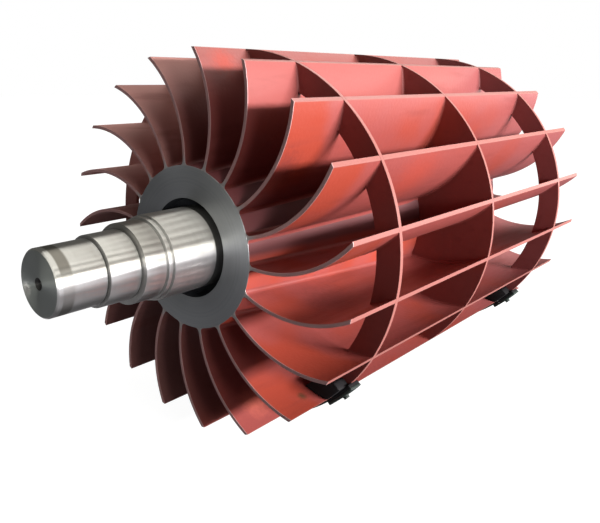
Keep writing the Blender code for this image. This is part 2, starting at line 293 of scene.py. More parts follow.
def blade_shape(end_y, ring_low, ring_high, turn):
    """One rolled blade between an open end and the disc, notched for its ring."""
    inward = 1 if end_y < DISC_Y else -1
    disc_edge = DISC_Y - inward * DISC_HALF
    land_edge = DISC_Y - inward * HUB_LAND_HALF_WIDTH
    near, far = (ring_low, ring_high) if inward > 0 else (ring_high, ring_low)

    # The tip's line along the shaft, with a point at each end of the ring's notch.
    tip_bend = bend_angle(TIP_RADIUS)
    centre = SHAFT_LINE + Vector((BLADE_BEND_CENTRE, 0.0, 0.0))
    start = centre - Vector((BLADE_BEND_RADIUS, 0.0, 0.0))
    shape = bmesh.new()
    stations = [end_y, near, far, disc_edge]
    line = [shape.verts.new((start.x, y, start.z)) for y in stations]
    edges = [shape.edges.new(pair) for pair in zip(line, line[1:])]
    to_tip = Matrix.Translation(centre) @ Matrix.Rotation(-tip_bend, 4, "Y") @ Matrix.Translation(-centre)
    bmesh.ops.transform(shape, matrix=to_tip, verts=line)

    # Rolled in three lengths, so that rows fall on the ring's inner edge and on the hub's land.
    rows = line + edges
    reached = TIP_RADIUS
    lengths = (
        (RING_INNER_RADIUS, BEND_STEPS // 5),
        (HUB_LAND_RADIUS, BEND_STEPS // 2),
        (HUB_FACE_RADIUS, BEND_STEPS // 4),
    )
    for radius, steps in lengths:
        made = bmesh.ops.spin(
            shape, geom=rows, cent=centre, axis=ALONG_SHAFT,
            angle=bend_angle(reached) - bend_angle(radius), steps=steps,
        )
        rows = made["geom_last"]
        reached = radius

    # The ring's notch, and the root cut to the hub's cone.
    notch = [
        face for face in shape.faces
        if min(near, far) < face.calc_center_median().y < max(near, far)
        and from_shaft(face.calc_center_median()) > RING_INNER_RADIUS
    ]
    bmesh.ops.delete(shape, geom=notch, context="FACES")
    for vert in shape.verts:
        share = (from_shaft(vert.co) - HUB_FACE_RADIUS) / (HUB_LAND_RADIUS - HUB_FACE_RADIUS)
        cone_y = end_y + min(share, 1.0) * (land_edge - end_y)
        if share < 1.0 and (vert.co.y - cone_y) * inward > 0:
            vert.co.y = cone_y
    bmesh.ops.remove_doubles(shape, verts=shape.verts[:], dist=SAME_PLACE_ON_BLADE)
    bmesh.ops.dissolve_degenerate(shape, edges=shape.edges[:], dist=SAME_PLACE_ON_BLADE)

    # Thickness, kept level with the tip's circle, then the blade's own place round the shaft.
    lower = shape.verts[:]
    thickened = bmesh.ops.extrude_face_region(shape, geom=shape.faces[:])
    upper = [item for item in thickened["geom"] if isinstance(item, bmesh.types.BMVert)]
    for side, verts in ((-1, lower), (1, upper)):
        for vert in verts:
            vert.co = turn_about_shaft(side * half_thickness_angle(from_shaft(vert.co))) @ vert.co
    tip = to_tip @ start
    tip_angle = math.atan2(tip.z - AXIS_HEIGHT, tip.x)
    bmesh.ops.transform(shape, matrix=turn_about_shaft(turn - tip_angle), verts=shape.verts[:])
    bmesh.ops.recalc_face_normals(shape, faces=shape.faces[:])
    sharp = [edge for edge in shape.edges if edge.calc_face_angle(0.0) > SHARP_EDGE_ANGLE]
    bmesh.ops.bevel(
        shape, geom=sharp, affect="EDGES", offset=EDGE_BREAK, segments=2, profile=0.5,
        material=-1, clamp_overlap=True,
    )
    return shape


# Welds

def middle_angle(radius):
    """Angle round the shaft from the bend centre's line to the plate's middle at a radius."""
    cosine = (radius ** 2 + BLADE_BEND_CENTRE ** 2 - BLADE_BEND_RADIUS ** 2) / (
        2 * radius * BLADE_BEND_CENTRE)
    return math.acos(cosine)


def beside_blade(turn, side, radius, distance):
    """Angle of a point that stands a distance off one side of a blade."""
    middle = turn + middle_angle(TIP_RADIUS) - middle_angle(radius)
    return middle + side * (half_thickness_angle(radius) + distance / radius)


def round_shaft(radius, angle, y):
    """A place given by its distance from the shaft's line, its angle and its place along it."""
    return Vector((radius * math.cos(angle), y, AXIS_HEIGHT + radius * math.sin(angle)))


def weld_outline(leg):
    """Section of a hollow fillet weld: distances off the blade and off what it stands on."""
    outline = [(leg, -WELD_ROOT), (-WELD_ROOT, -WELD_ROOT), (-WELD_ROOT, leg)]
    for step in range(WELD_CURVE_STEPS + 1):
        angle = math.radians(90) * step / WELD_CURVE_STEPS
        outline.append((leg * (1 - math.cos(angle)), leg * (1 - math.sin(angle))))
    return outline


def add_weld(shape, leg, place):
    """Lay one weld: place gives the point for a section's two distances and a share of its length."""
    outline = weld_outline(leg)
    made = bmesh.ops.create_grid(shape, x_segments=len(outline), y_segments=WELD_STEPS, size=1.0)
    for vert in made["verts"]:
        column = round((vert.co.x + 1) / 2 * len(outline)) % len(outline)
        share = (vert.co.y + 1) / 2
        vert.co = place(*outline[column], share)


def close_welds(shape):
    """Join the welds' seams and close their ends."""
    bmesh.ops.remove_doubles(shape, verts=shape.verts[:], dist=SAME_PLACE)
    bmesh.ops.holes_fill(shape, edges=[edge for edge in shape.edges if edge.is_boundary], sides=0)
    bmesh.ops.recalc_face_normals(shape, faces=shape.faces[:])
    return shape


def hub_welds_shape(end_y):
    """Welds along both sides of every blade's root, from the machined face to the disc."""
    inward = 1 if end_y < DISC_Y else -1
    disc_edge = DISC_Y - inward * DISC_HALF
    land_edge = DISC_Y - inward * HUB_LAND_HALF_WIDTH

    def root_radius(y):
        """The hub's radius at a place along the shaft."""
        share = (y - end_y) / (land_edge - end_y)
        return HUB_FACE_RADIUS + min(share, 1.0) * (HUB_LAND_RADIUS - HUB_FACE_RADIUS)

    shape = bmesh.new()
    for number in range(BLADE_COUNT):
        turn = FIRST_BLADE_ANGLE + number * BLADE_PITCH
        for side in (-1, 1):
            def place(off_blade, off_hub, share):
                """A point off the blade and off the hub, a share of the way to the disc."""
                y = end_y + share * (disc_edge - end_y)
                radius = root_radius(y) + off_hub
                return round_shaft(radius, beside_blade(turn, side, radius, off_blade), y)
            add_weld(shape, HUB_WELD_LEG, place)
    return close_welds(shape)


def plate_welds_shape(plate_y, away, inner, outer, leg):
    """Welds between one face of the disc or a ring and both sides of every blade."""
    shape = bmesh.new()
    for number in range(BLADE_COUNT):
        turn = FIRST_BLADE_ANGLE + number * BLADE_PITCH
        for side in (-1, 1):
            def place(off_blade, off_plate, share):
                """A point off the blade and off the plate, a share of the way outward."""
                radius = inner + share * (outer - inner)
                return round_shaft(
                    radius, beside_blade(turn, side, radius, off_blade), plate_y + away * off_plate)
            add_weld(shape, leg, place)
    return close_welds(shape)


# Cradles

def bent_run(shape, radius, start, stop, y):
    """An arc of wire round the shaft's line, counter-clockwise from straight right. Gives its ends."""
    first = shape.verts.new(round_shaft(radius, start, y))
    if start == stop:
        return first, first
    made = bmesh.ops.spin(
        shape, geom=[first], cent=SHAFT_LINE, axis=-ALONG_SHAFT, angle=stop - start,
        steps=math.ceil(abs(stop - start) / BENT_STEP),
    )
    last = [item for item in made["geom_last"] if isinstance(item, bmesh.types.BMVert)]
    return first, last[0]


def thick_outline(runs, near_y, depth, edge_break):
    """Join runs of (radius, start, stop) to one outline, thicken it along the shaft, break its edges."""
    shape = bmesh.new()
    ends = [bent_run(shape, radius, start, stop, near_y) for radius, start, stop in runs]
    for (_, last), (first, _) in zip(ends, ends[1:] + ends[:1]):
        shape.edges.new((last, first))
    bmesh.ops.contextual_create(shape, geom=shape.edges[:])
    thickened = bmesh.ops.extrude_face_region(shape, geom=shape.faces[:], use_keep_orig=True)
    moved = [item for item in thickened["geom"] if isinstance(item, bmesh.types.BMVert)]
    bmesh.ops.translate(shape, verts=moved, vec=ALONG_SHAFT * depth)
    bmesh.ops.recalc_face_normals(shape, faces=shape.faces[:])
    sharp = [edge for edge in shape.edges if edge.calc_face_angle(0.0) > SHARP_EDGE_ANGLE / 2]
    bmesh.ops.bevel(
        shape, geom=sharp, affect="EDGES", offset=edge_break, segments=2, profile=0.5,
        material=-1, clamp_overlap=True,
    )
    return shape


def both_sides(runs):
    """Runs given right of straight down, then the same ones mirrored to its left, in one round."""
    right = [(radius, STRAIGHT_DOWN + start, STRAIGHT_DOWN + stop) for radius, start, stop in runs]
    left = [
        (radius, STRAIGHT_DOWN - stop, STRAIGHT_DOWN - start) for radius, start, stop in reversed(runs)
    ]
    return right + left


def lining_runs():
    """Rubber between the ring and the strap, thicker at its ends."""
    pad_start = CRADLE_HALF_ANGLE - PAD_ANGLE
    return both_sides([
        (LINING_INNER, 0.0, CRADLE_HALF_ANGLE),
        (PAD_OUTER, CRADLE_HALF_ANGLE, pad_start),
        (LINING_OUTER, pad_start, 0.0),
    ])


def cradle_runs():
    """Strap, thicker ends and foot."""
    pad_start = CRADLE_HALF_ANGLE - PAD_ANGLE - FIT_GAP / TIP_RADIUS
    end_start = CRADLE_HALF_ANGLE - END_ANGLE
    foot_corner = math.atan2(FOOT_HALF_WIDTH, AXIS_HEIGHT)
    return both_sides([
        (LINING_OUTER + FIT_GAP, 0.0, pad_start),
        (PAD_OUTER + FIT_GAP, pad_start, CRADLE_HALF_ANGLE),
        (END_OUTER, CRADLE_HALF_ANGLE, end_start),
        (STRAP_OUTER, end_start, FOOT_TOP_ANGLE),
        (math.hypot(FOOT_HALF_WIDTH, AXIS_HEIGHT), foot_corner, foot_corner),
    ])


def chock_runs():
    """Rubber block that fills the corner between a blade's upper side and the lining."""
    turn = FIRST_BLADE_ANGLE + (CHOCK_BLADE - 1) * BLADE_PITCH
    outer = LINING_INNER - FIT_GAP
    runs = []
    for step in range(CHOCK_FACE_STEPS):
        radius = CHOCK_INNER_RADIUS + (outer - CHOCK_INNER_RADIUS) * step / CHOCK_FACE_STEPS
        angle = beside_blade(turn, 1, radius, 2 * FIT_GAP)
        runs.append((radius, angle, angle))
    runs.append((outer, beside_blade(turn, 1, outer, 2 * FIT_GAP), CHOCK_END_ANGLE + 2 * math.pi))
    runs.append((CHOCK_SHOULDER_RADIUS, CHOCK_END_ANGLE, CHOCK_END_ANGLE))
    runs.append((CHOCK_INNER_RADIUS, CHOCK_TOP_ANGLE, CHOCK_TOP_ANGLE))
    return runs


def clamp_bolts_shape(middle_y):
    """Hexagon heads on washers, on the outside of both of a cradle's ends."""
    shape = bmesh.new()
    end_middle = CRADLE_HALF_ANGLE - END_ANGLE / 2
    for angle in (STRAIGHT_DOWN - end_middle, STRAIGHT_DOWN + end_middle):
        outward = round_shaft(1.0, angle, 0.0) - SHAFT_LINE
        seat = round_shaft(END_OUTER, angle, middle_y)
        turn = outward.to_track_quat("Z", "Y").to_matrix().to_4x4()
        for sides, radius, low, height in (
            (WASHER_STEPS, WASHER_RADIUS, -FIT_GAP, WASHER_THICKNESS + FIT_GAP),
            (HEXAGON, BOLT_HEAD_RADIUS, WASHER_THICKNESS, BOLT_HEAD_HEIGHT),
        ):
            middle = seat + outward * (low + height / 2)
            bmesh.ops.create_cone(
                shape, cap_ends=True, segments=sides, radius1=radius, radius2=radius, depth=height,
                matrix=Matrix.Translation(middle) @ turn,
            )
    sharp = [edge for edge in shape.edges if edge.calc_face_angle(0.0) > SHARP_EDGE_ANGLE]
    bmesh.ops.bevel(
        shape, geom=sharp, affect="EDGES", offset=BOLT_EDGE_BREAK, segments=2, profile=0.5,
        material=-1, clamp_overlap=True,
    )
    return shape


# Colours: linear red, green and blue

PRIMER_ORANGE = (0.265, 0.040, 0.024)
PRIMER_ROSE = (0.235, 0.051, 0.045)
# The next two are painted sheen, pale on top and mauve at the back:
PAINTED_SHEEN_PALE = (0.280, 0.072, 0.066)
PAINTED_SHEEN_MAUVE = (0.230, 0.068, 0.070)
# The next two are painted haze and sheen on the left side:
PAINTED_HAZE_DULL = (0.185, 0.080, 0.072)
PAINTED_HAZE_LIGHT = (0.580, 0.280, 0.250)
# Dark for the runs and for painted shadows; the next two are painted light:
PRIMER_RUNS_AND_PAINTED_SHADE = (0.145, 0.028, 0.024)
PAINTED_LIGHT_PRIMER = (0.300, 0.048, 0.034)
PAINTED_LIGHT_PRIMER_STRONG = (0.430, 0.100, 0.072)
PRIMER_DUST = (0.26, 0.14, 0.12)
# Thin primer on the rims, paler as a painted highlight:
THIN_RIM_AND_PAINTED_HIGHLIGHT = (0.27, 0.098, 0.085)
RUST = (0.06, 0.035, 0.018)
MACHINED_GREY = (0.36, 0.33, 0.33)
MACHINED_MAUVE = (0.42, 0.24, 0.235)
STEEL_BRIGHT = (0.78, 0.77, 0.75)
STEEL_SHADE = (0.72, 0.71, 0.69)
STEEL_STAIN = (0.52, 0.50, 0.46)
STEEL_DARKER_TONE = (0.22, 0.20, 0.17)
# Painted shade in the shaft's grooves, recess and centre holes:
PAINTED_SHADE_STEEL = (0.050, 0.050, 0.048)
SHAFT_FACE_GREY = (0.50, 0.54, 0.52)
HUB_FACE_LIGHT = (0.29, 0.30, 0.31)
HUB_FACE_DARK = (0.27, 0.28, 0.29)
HUB_FACE_STAIN = (0.20, 0.21, 0.20)
# Painted shade on the upper side of the hub's cone:
PAINTED_SHADE_CONE = (0.085, 0.030, 0.034)
# Painted shade in the hub's recess:
PAINTED_SHADE_RECESS = (0.012, 0.013, 0.015)
RUBBER_BLACK = (0.005, 0.004, 0.005)
RUBBER_DUST = (0.014, 0.012, 0.011)
GREEN_PAINT = (0.007, 0.018, 0.014)
GREEN_DARK = (0.004, 0.009, 0.007)
GREEN_WORN = (0.022, 0.015, 0.011)

# Random patches: how many to a metre, their detail and their coarseness.
PRIMER_CLOUDS = (3.5, 3.0, 0.5)
PRIMER_RUNS = (1.6, 4.0, 0.5)
RUNS_STRETCH = (14.0, 2.2, 14.0)
PRIMER_SPECKS = (140.0, 3.0, 0.7)
PRIMER_PEEL = (90.0, 2.0, 0.5)
SMEAR_EDGE = (60.0, 4.0, 0.65)
SHAFT_LINES = (45.0, 3.0, 0.6)
SHAFT_STAINS = (9.0, 4.0, 0.6)
HUB_LINES = (420.0, 3.0, 0.6)
HUB_CLOUDS = (6.0, 4.0, 0.5)
RUBBER_GRAIN = (220.0, 4.0, 0.7)
RUBBER_CLOUDS = (18.0, 4.0, 0.6)
GREEN_WEAR = (26.0, 5.0, 0.65)
GREEN_CLOUDS = (7.0, 3.0, 0.5)
GREEN_PEEL = (120.0, 3.0, 0.5)
PEEL_HEIGHT = 0.0006
GRAIN_HEIGHT = 0.0004

# Every fade below is where it starts and where it is whole, then its amounts there if not 0 and 1.

# Fades over the random patches, which run from 0 to 1.
EVEN_MIX = (0.35, 0.65)
PRIMER_RUN_AMOUNT = (0.52, 0.78, 0.0, 0.35)
PRIMER_SPECK_AMOUNT = (0.60, 0.80, 0.0, 0.10)
PRIMER_ROUGHNESS = (0.3, 0.7, 0.36, 0.46)
SHAFT_LINE_AMOUNT = (0.35, 0.65, 0.0, 0.5)
SHAFT_LINE_ROUGHNESS = (0.3, 0.7, 0.0, 0.01)
SHAFT_STAIN_AMOUNT = (0.50, 0.75, 0.0, 0.45)
HUB_STAIN_AMOUNT = (0.5, 0.75, 0.0, 0.4)
RUBBER_DUST_AMOUNT = (0.5, 0.8, 0.0, 0.3)
RUBBER_ROUGHNESS = (0.3, 0.7, 0.62, 0.82)
GREEN_CLOUD_AMOUNT = (0.35, 0.7)
GREEN_WEAR_AMOUNT = (0.62, 0.72, 0.0, 0.8)
GREEN_ROUGHNESS = (0.4, 0.7, 0.45, 0.70)

# Fades of the primer over the rotor, from the shaft's line and from the middle of its length.
ORANGE_TO_FRONT = (-0.56, -0.66)
ORANGE_TO_RIGHT = (0.22, 0.34)
# Painted sheen, on top towards the right and at the back:
PAINTED_SHEEN_TO_TOP = (0.34, 0.52)
PAINTED_SHEEN_TO_RIGHT = (0.03, 0.14)
PAINTED_SHEEN_TO_BACK = (0.30, 0.65, 0.0, 0.6)
# Painted haze and sheen on the left, lighter near the top:
PAINTED_HAZE_TO_LEFT = (0.16, 0.0, 0.0, 0.5)
LIGHTER_HAZE_TO_LEFT = (0.0, -0.14)
LIGHTER_HAZE_TO_TOP = (-0.10, 0.25)
RIM_TO_EDGE = (TIP_RADIUS - 0.0022, TIP_RADIUS - 0.0008)
BARE_END_MAUVE = (0.262, 0.300)
BARE_END_DEPTH = 0.0022
ORANGE_LEAD = 0.26
ROSE_LEAD = 0.12
LIGHTER_HAZE_SHARE = 0.85
LEFT_SIDE_ROUGHER = 0.3
BARE_END_ROUGHER = 0.12
BARE_END_METALLIC = 0.5

# Smears on the primer, one of rust and the others painted shadows and painted pools of light: the
# middle of each from the shaft's line, its reach, its strength and its colour. A smear is whole and
# gone at these shares of its reach.
SMEAR_WHOLE = 0.5
SMEAR_GONE = 1.6
RUST_AND_PAINTED_LIGHT_SPOTS = (
    ((0.3765, -0.6450, -0.4083), 0.021, 0.85, RUST),
    # painted shadows on two blades
    ((0.40, -0.52, -0.12), 0.140, 0.95, PRIMER_RUNS_AND_PAINTED_SHADE),
    ((0.33, -0.74, 0.27), 0.090, 0.80, PRIMER_RUNS_AND_PAINTED_SHADE),
    # painted pools of light on three blades
    ((0.48, -0.28, 0.22), 0.170, 0.85, PAINTED_LIGHT_PRIMER),
    ((0.20, -0.66, -0.49), 0.070, 0.85, PAINTED_LIGHT_PRIMER_STRONG),
    ((0.05, -0.67, 0.56), 0.070, 0.85, PAINTED_LIGHT_PRIMER),
)

# Marks on the shaft, measured from its front end, its line, a groove's middle or its own middle.
END_FACE_EDGE = (0.0012, 0.0004)
DULL_BAND_STARTS = (0.014, 0.020)
DULL_BAND_ENDS = (0.054, 0.046)
DULL_BAND_STAIN = 0.3
DULL_BAND_ROUGHER = 0.10
DULL_BAND_DARKER_TO_TOP = (0.025, 0.060, 0.0, 0.75)
DULL_BAND_DARKER_TO_BOTTOM = (-0.02, -0.05, 0.0, 0.5)
GREY_STEP_TO_TOP = (0.045, 0.065, 0.0, 0.38)
GREY_STEP_SOFTNESS = 0.001
IN_GROOVE = (GROOVE_WIDTH * 0.49, GROOVE_WIDTH * 0.42)
ON_SHOULDER_FACE = (GROOVE_WIDTH * 0.58, GROOVE_WIDTH * 0.51)
SHOULDER_FACE_SHARE = 0.55
RECESS_SOFTNESS = 0.0025
RECESS_LEAD = 0.0005
HOLE_EDGE = (SHAFT_HALF_LENGTH - 0.0003, SHAFT_HALF_LENGTH - 0.0008)
HOLE_RIM = (CENTRE_HOLE_MOUTH_RADIUS, CENTRE_HOLE_MOUTH_RADIUS - 0.001)
# A painted highlight on the end face, below and left of the centre hole:
PAINTED_HIGHLIGHT_SPOT = (-0.062, SHAFT_FRONT_Y, -0.028)
PAINTED_HIGHLIGHT_REACH = 0.026
PAINTED_HIGHLIGHT_SHINE = 0.55
# How much of the painted shade goes into the shaft's colour:
PAINTED_SHADE_SHARE = 0.92
DEAD_ROUGHNESS = 0.7
DEAD_METALLIC_LOSS = 0.85
THIRD_STEP_END = FRONT_FACE_Y - THIRD_SHOULDER
SHAFT_ROUGHNESS_TO_HUB = (THIRD_STEP_END - 0.03, THIRD_STEP_END, 0.29, 0.36)

# Marks on the hub.
# Painted shade on the upper side of the hub's cone:
PAINTED_SHADE_CONE_TO_TOP = (0.012, 0.036, 0.0, 0.85)
HUB_END_DEPTH = 0.0016
HUB_FACE_METALLIC = 0.9
HUB_FACE_SMOOTHER = 0.18
HUB_PAINT_ROUGHNESS = 0.60
RECESS_EDGE = (HUB_RECESS_RADIUS + 0.004, HUB_RECESS_RADIUS + 0.001)

# Gloss, the same all over a surface.
MATT_SPECULAR = 0.16
RUBBER_SPECULAR = 0.15
SHAFT_ANISOTROPY = 1.0
HUB_ANISOTROPY = 0.7
ACROSS_THE_MARKS = 0.25


# Shading helpers

def feed(tree, socket, value):
    """Join a socket to what drives it, or set its number or colour."""
    if isinstance(value, bpy.types.NodeSocket):
        tree.links.new(value, socket)
    else:
        socket.default_value = value


def worked_out(tree, operation, first, second=0.0, third=0.0):
    """One step of arithmetic on numbers or sockets."""
    node = tree.nodes.new("ShaderNodeMath")
    node.operation = operation
    for socket, value in zip(node.inputs, (first, second, third)):
        feed(tree, socket, value)
    return node.outputs["Value"]


def product(tree, first, second):
    """The first times the second."""
    return worked_out(tree, "MULTIPLY", first, second)


def larger(tree, first, second):
    """The larger one of the two."""
    return worked_out(tree, "MAXIMUM", first, second)


def distance_from(tree, value, middle):
    """How far a value lies from a middle, on either side."""
    return worked_out(tree, "ABSOLUTE", worked_out(tree, "SUBTRACT", value, middle))


def fade(tree, value, start, stop, low=0.0, high=1.0):
    """A soft change from low to high while the value goes from start to stop."""
    node = tree.nodes.new("ShaderNodeMapRange")
    node.interpolation_type = "SMOOTHSTEP"
    for name, given in (
        ("Value", value), ("From Min", start), ("From Max", stop), ("To Min", low), ("To Max", high),
    ):
        feed(tree, node.inputs[name], given)
    return node.outputs["Result"]


def between(tree, value, start, stop, softness):
    """One while the value lies between start and stop, softly zero outside them."""
    rise = fade(tree, value, start - softness, start + softness)
    fall = fade(tree, value, stop + softness, stop - softness)
    return product(tree, rise, fall)


def blend(tree, amount, first, second):
    """From the first colour to the second."""
    node = tree.nodes.new("ShaderNodeMix")
    node.data_type = "RGBA"
    for socket, value in ((0, amount), (6, first), (7, second)):
        feed(tree, node.inputs[socket], (*value, 1.0) if isinstance(value, tuple) else value)
    return node.outputs[2]


def patches(tree, place, scale, detail, coarseness):
    """Soft random patches, scale to a metre."""
    node = tree.nodes.new("ShaderNodeTexNoise")
    for name, given in (
        ("Vector", place), ("Scale", scale), ("Detail", detail), ("Roughness", coarseness),
    ):
        feed(tree, node.inputs[name], given)
    return node.outputs["Fac"]


def on_rotor(tree):
    """A place measured from the shaft's line: the vector, x, y, z and the distance from the line."""
    coordinates = tree.nodes.new("ShaderNodeTexCoord")
    centred = tree.nodes.new("ShaderNodeMapping")
    centred.inputs["Location"].default_value = (0.0, 0.0, -AXIS_HEIGHT)
    tree.links.new(coordinates.outputs["Object"], centred.inputs["Vector"])
    parts = tree.nodes.new("ShaderNodeSeparateXYZ")
    tree.links.new(centred.outputs["Vector"], parts.inputs["Vector"])
    x, y, z = (parts.outputs[axis] for axis in "XYZ")
    across = tree.nodes.new("ShaderNodeCombineXYZ")
    tree.links.new(x, across.inputs["X"])
    tree.links.new(z, across.inputs["Z"])
    length = tree.nodes.new("ShaderNodeVectorMath")
    length.operation = "LENGTH"
    tree.links.new(across.outputs["Vector"], length.inputs[0])
    return centred.outputs["Vector"], x, y, z, length.outputs["Value"]


def stretched(tree, place, scale):
    """The same places drawn out or pressed together along each axis."""
    node = tree.nodes.new("ShaderNodeMapping")
    node.inputs["Scale"].default_value = scale
    tree.links.new(place, node.inputs["Vector"])
    return node.outputs["Vector"]


def turned_lines(tree, y, distance, fineness):
    """Fine lines that run round the shaft, as a lathe leaves them."""
    rings = tree.nodes.new("ShaderNodeCombineXYZ")
    tree.links.new(distance, rings.inputs["X"])
    tree.links.new(y, rings.inputs["Y"])
    return patches(tree, rings.outputs["Vector"], *fineness)


def lathe_marks_round_shaft(tree, shader):
    """Draw the gloss out across the fine marks that a lathe leaves round the shaft's line."""
    marks = tree.nodes.new("ShaderNodeTangent")
    marks.direction_type = "RADIAL"
    marks.axis = "Y"
    tree.links.new(marks.outputs["Tangent"], shader.inputs["Tangent"])
    shader.inputs["Anisotropic Rotation"].default_value = ACROSS_THE_MARKS


def relief(tree, shader, height, distance):
    """Small unevenness of the surface."""
    node = tree.nodes.new("ShaderNodeBump")
    node.inputs["Strength"].default_value = 1.0
    node.inputs["Distance"].default_value = distance
    tree.links.new(height, node.inputs["Height"])
    tree.links.new(node.outputs["Normal"], shader.inputs["Normal"])


def new_material(name):
    """An empty material, its node tree and its shader."""
    material = bpy.data.materials.new(name)
    material.use_nodes = True
    return material, material.node_tree, material.node_tree.nodes["Principled BSDF"]


def at_open_ends(tree, y, depth):
    """One on the machined planes at both ends of the blades, zero away from them."""
    front = distance_from(tree, y, FRONT_FACE_Y)
    back = distance_from(tree, y, BACK_FACE_Y)
    return fade(tree, worked_out(tree, "MINIMUM", front, back), depth, depth * 0.5)


def smear(tree, place, spot, reach):
    """One at a spot, fading unevenly to zero over its reach."""
    away = tree.nodes.new("ShaderNodeVectorMath")
    away.operation = "DISTANCE"
    tree.links.new(place, away.inputs[0])
    away.inputs[1].default_value = spot
    uneven = product(tree, patches(tree, place, *SMEAR_EDGE), reach)
    uneven_distance = worked_out(tree, "ADD", away.outputs["Value"], uneven)
    return fade(tree, uneven_distance, reach * SMEAR_GONE, reach * SMEAR_WHOLE)


# Materials

def red_primer():
    """Sprayed primer on plate, thin on machined rims and worn off the machined blade ends; painted sheen,
    haze, shadows, pools of light and rim highlights lie in its colour.
    """
    material, tree, shader = new_material("red_primer")
    place, x, y, z, distance = on_rotor(tree)
    clouds = patches(tree, place, *PRIMER_CLOUDS)
    runs = patches(tree, stretched(tree, place, RUNS_STRETCH), *PRIMER_RUNS)
    specks = patches(tree, place, *PRIMER_SPECKS)

    # Orange and rose in clouds, more orange at the front right; painted sheen pale on top, mauve at the back.
    orange = product(tree, fade(tree, y, *ORANGE_TO_FRONT), fade(tree, x, *ORANGE_TO_RIGHT))
    rosier = worked_out(tree, "ADD", clouds, ROSE_LEAD)
    later_coat = worked_out(tree, "MULTIPLY_ADD", orange, -ORANGE_LEAD, rosier)
    colour = blend(tree, fade(tree, later_coat, *EVEN_MIX), PRIMER_ORANGE, PRIMER_ROSE)
    high = product(tree, fade(tree, z, *PAINTED_SHEEN_TO_TOP), fade(tree, x, *PAINTED_SHEEN_TO_RIGHT))
    pale = product(tree, high, worked_out(tree, "SUBTRACT", 1.0, orange))
    colour = blend(tree, pale, colour, PAINTED_SHEEN_PALE)
    colour = blend(tree, fade(tree, y, *PAINTED_SHEEN_TO_BACK), colour, PAINTED_SHEEN_MAUVE)

    # Painted haze and sheen: duller and greyer towards the left, and lighter there, most of all near the top.
    colour = blend(tree, fade(tree, x, *PAINTED_HAZE_TO_LEFT), colour, PAINTED_HAZE_DULL)
    lighter_haze = blend(tree, fade(tree, z, *LIGHTER_HAZE_TO_TOP), PAINTED_HAZE_DULL, PAINTED_HAZE_LIGHT)
    on_left = fade(tree, x, *LIGHTER_HAZE_TO_LEFT)
    colour = blend(tree, product(tree, on_left, LIGHTER_HAZE_SHARE), colour, lighter_haze)

    # Runs and specks over it all, then rust, painted shadows and painted pools of light.
    colour = blend(tree, fade(tree, runs, *PRIMER_RUN_AMOUNT), colour, PRIMER_RUNS_AND_PAINTED_SHADE)
    colour = blend(tree, fade(tree, specks, *PRIMER_SPECK_AMOUNT), colour, PRIMER_DUST)
    for spot, reach, strength, spot_colour in RUST_AND_PAINTED_LIGHT_SPOTS:
        colour = blend(tree, product(tree, smear(tree, place, spot, reach), strength), colour, spot_colour)

    # Thin on the turned rims and paler there, which is also a painted highlight along them; none on the
    # machined ends.
    colour = blend(tree, fade(tree, distance, *RIM_TO_EDGE), colour, THIN_RIM_AND_PAINTED_HIGHLIGHT)
    ends = at_open_ends(tree, y, BARE_END_DEPTH)
    bare = blend(tree, fade(tree, distance, *BARE_END_MAUVE), MACHINED_GREY, MACHINED_MAUVE)
    tree.links.new(blend(tree, ends, colour, bare), shader.inputs["Base Color"])
    tree.links.new(product(tree, ends, BARE_END_METALLIC), shader.inputs["Metallic"])

    roughness = fade(tree, runs, *PRIMER_ROUGHNESS)
    roughness = worked_out(tree, "MULTIPLY_ADD", ends, BARE_END_ROUGHER, roughness)
    roughness = worked_out(tree, "MULTIPLY_ADD", on_left, LEFT_SIDE_ROUGHER, roughness)
    tree.links.new(roughness, shader.inputs["Roughness"])
    shader.inputs["Specular IOR Level"].default_value = MATT_SPECULAR
    relief(tree, shader, patches(tree, place, *PRIMER_PEEL), PEEL_HEIGHT)
    return material


def groove_places():
    """The middles of the relief grooves along the shaft, and how dark the painted shade in each one is."""
    collar = THIRD_SHOULDER - COLLAR_WIDTH - GROOVE_WIDTH
    to_middle = GROOVE_WIDTH / 2
    darkness = {FIRST_SHOULDER: 0.85, SECOND_SHOULDER: 0.75, THIRD_SHOULDER: 0.45, collar: 0.45}
    front = [(FRONT_FACE_Y - shoulder - to_middle, dark) for shoulder, dark in darkness.items()]
    back = [
        (BACK_FACE_Y + shoulder + to_middle, dark)
        for shoulder, dark in darkness.items() if shoulder != FIRST_SHOULDER
    ]
    return front + back


def shaft_painted_shade(tree, y, distance):
    """Painted shade: one in the hub's recess and the centre holes, and up to one in the relief grooves."""
    in_recess = between(tree, y, FRONT_FACE_Y - RECESS_LEAD, BACK_FACE_Y + RECESS_LEAD, RECESS_SOFTNESS)
    past_face = fade(tree, worked_out(tree, "ABSOLUTE", y), *HOLE_EDGE)
    in_hole = product(tree, fade(tree, distance, *HOLE_RIM), past_face)
    painted_shade = larger(tree, in_recess, in_hole)
    for groove_y, darkness in groove_places():
        near_groove = distance_from(tree, y, groove_y)
        in_groove = fade(tree, near_groove, *IN_GROOVE, 0.0, darkness)
        on_face = fade(tree, near_groove, *ON_SHOULDER_FACE, 0.0, darkness * SHOULDER_FACE_SHARE)
        painted_shade = larger(tree, painted_shade, larger(tree, in_groove, on_face))
    return painted_shade


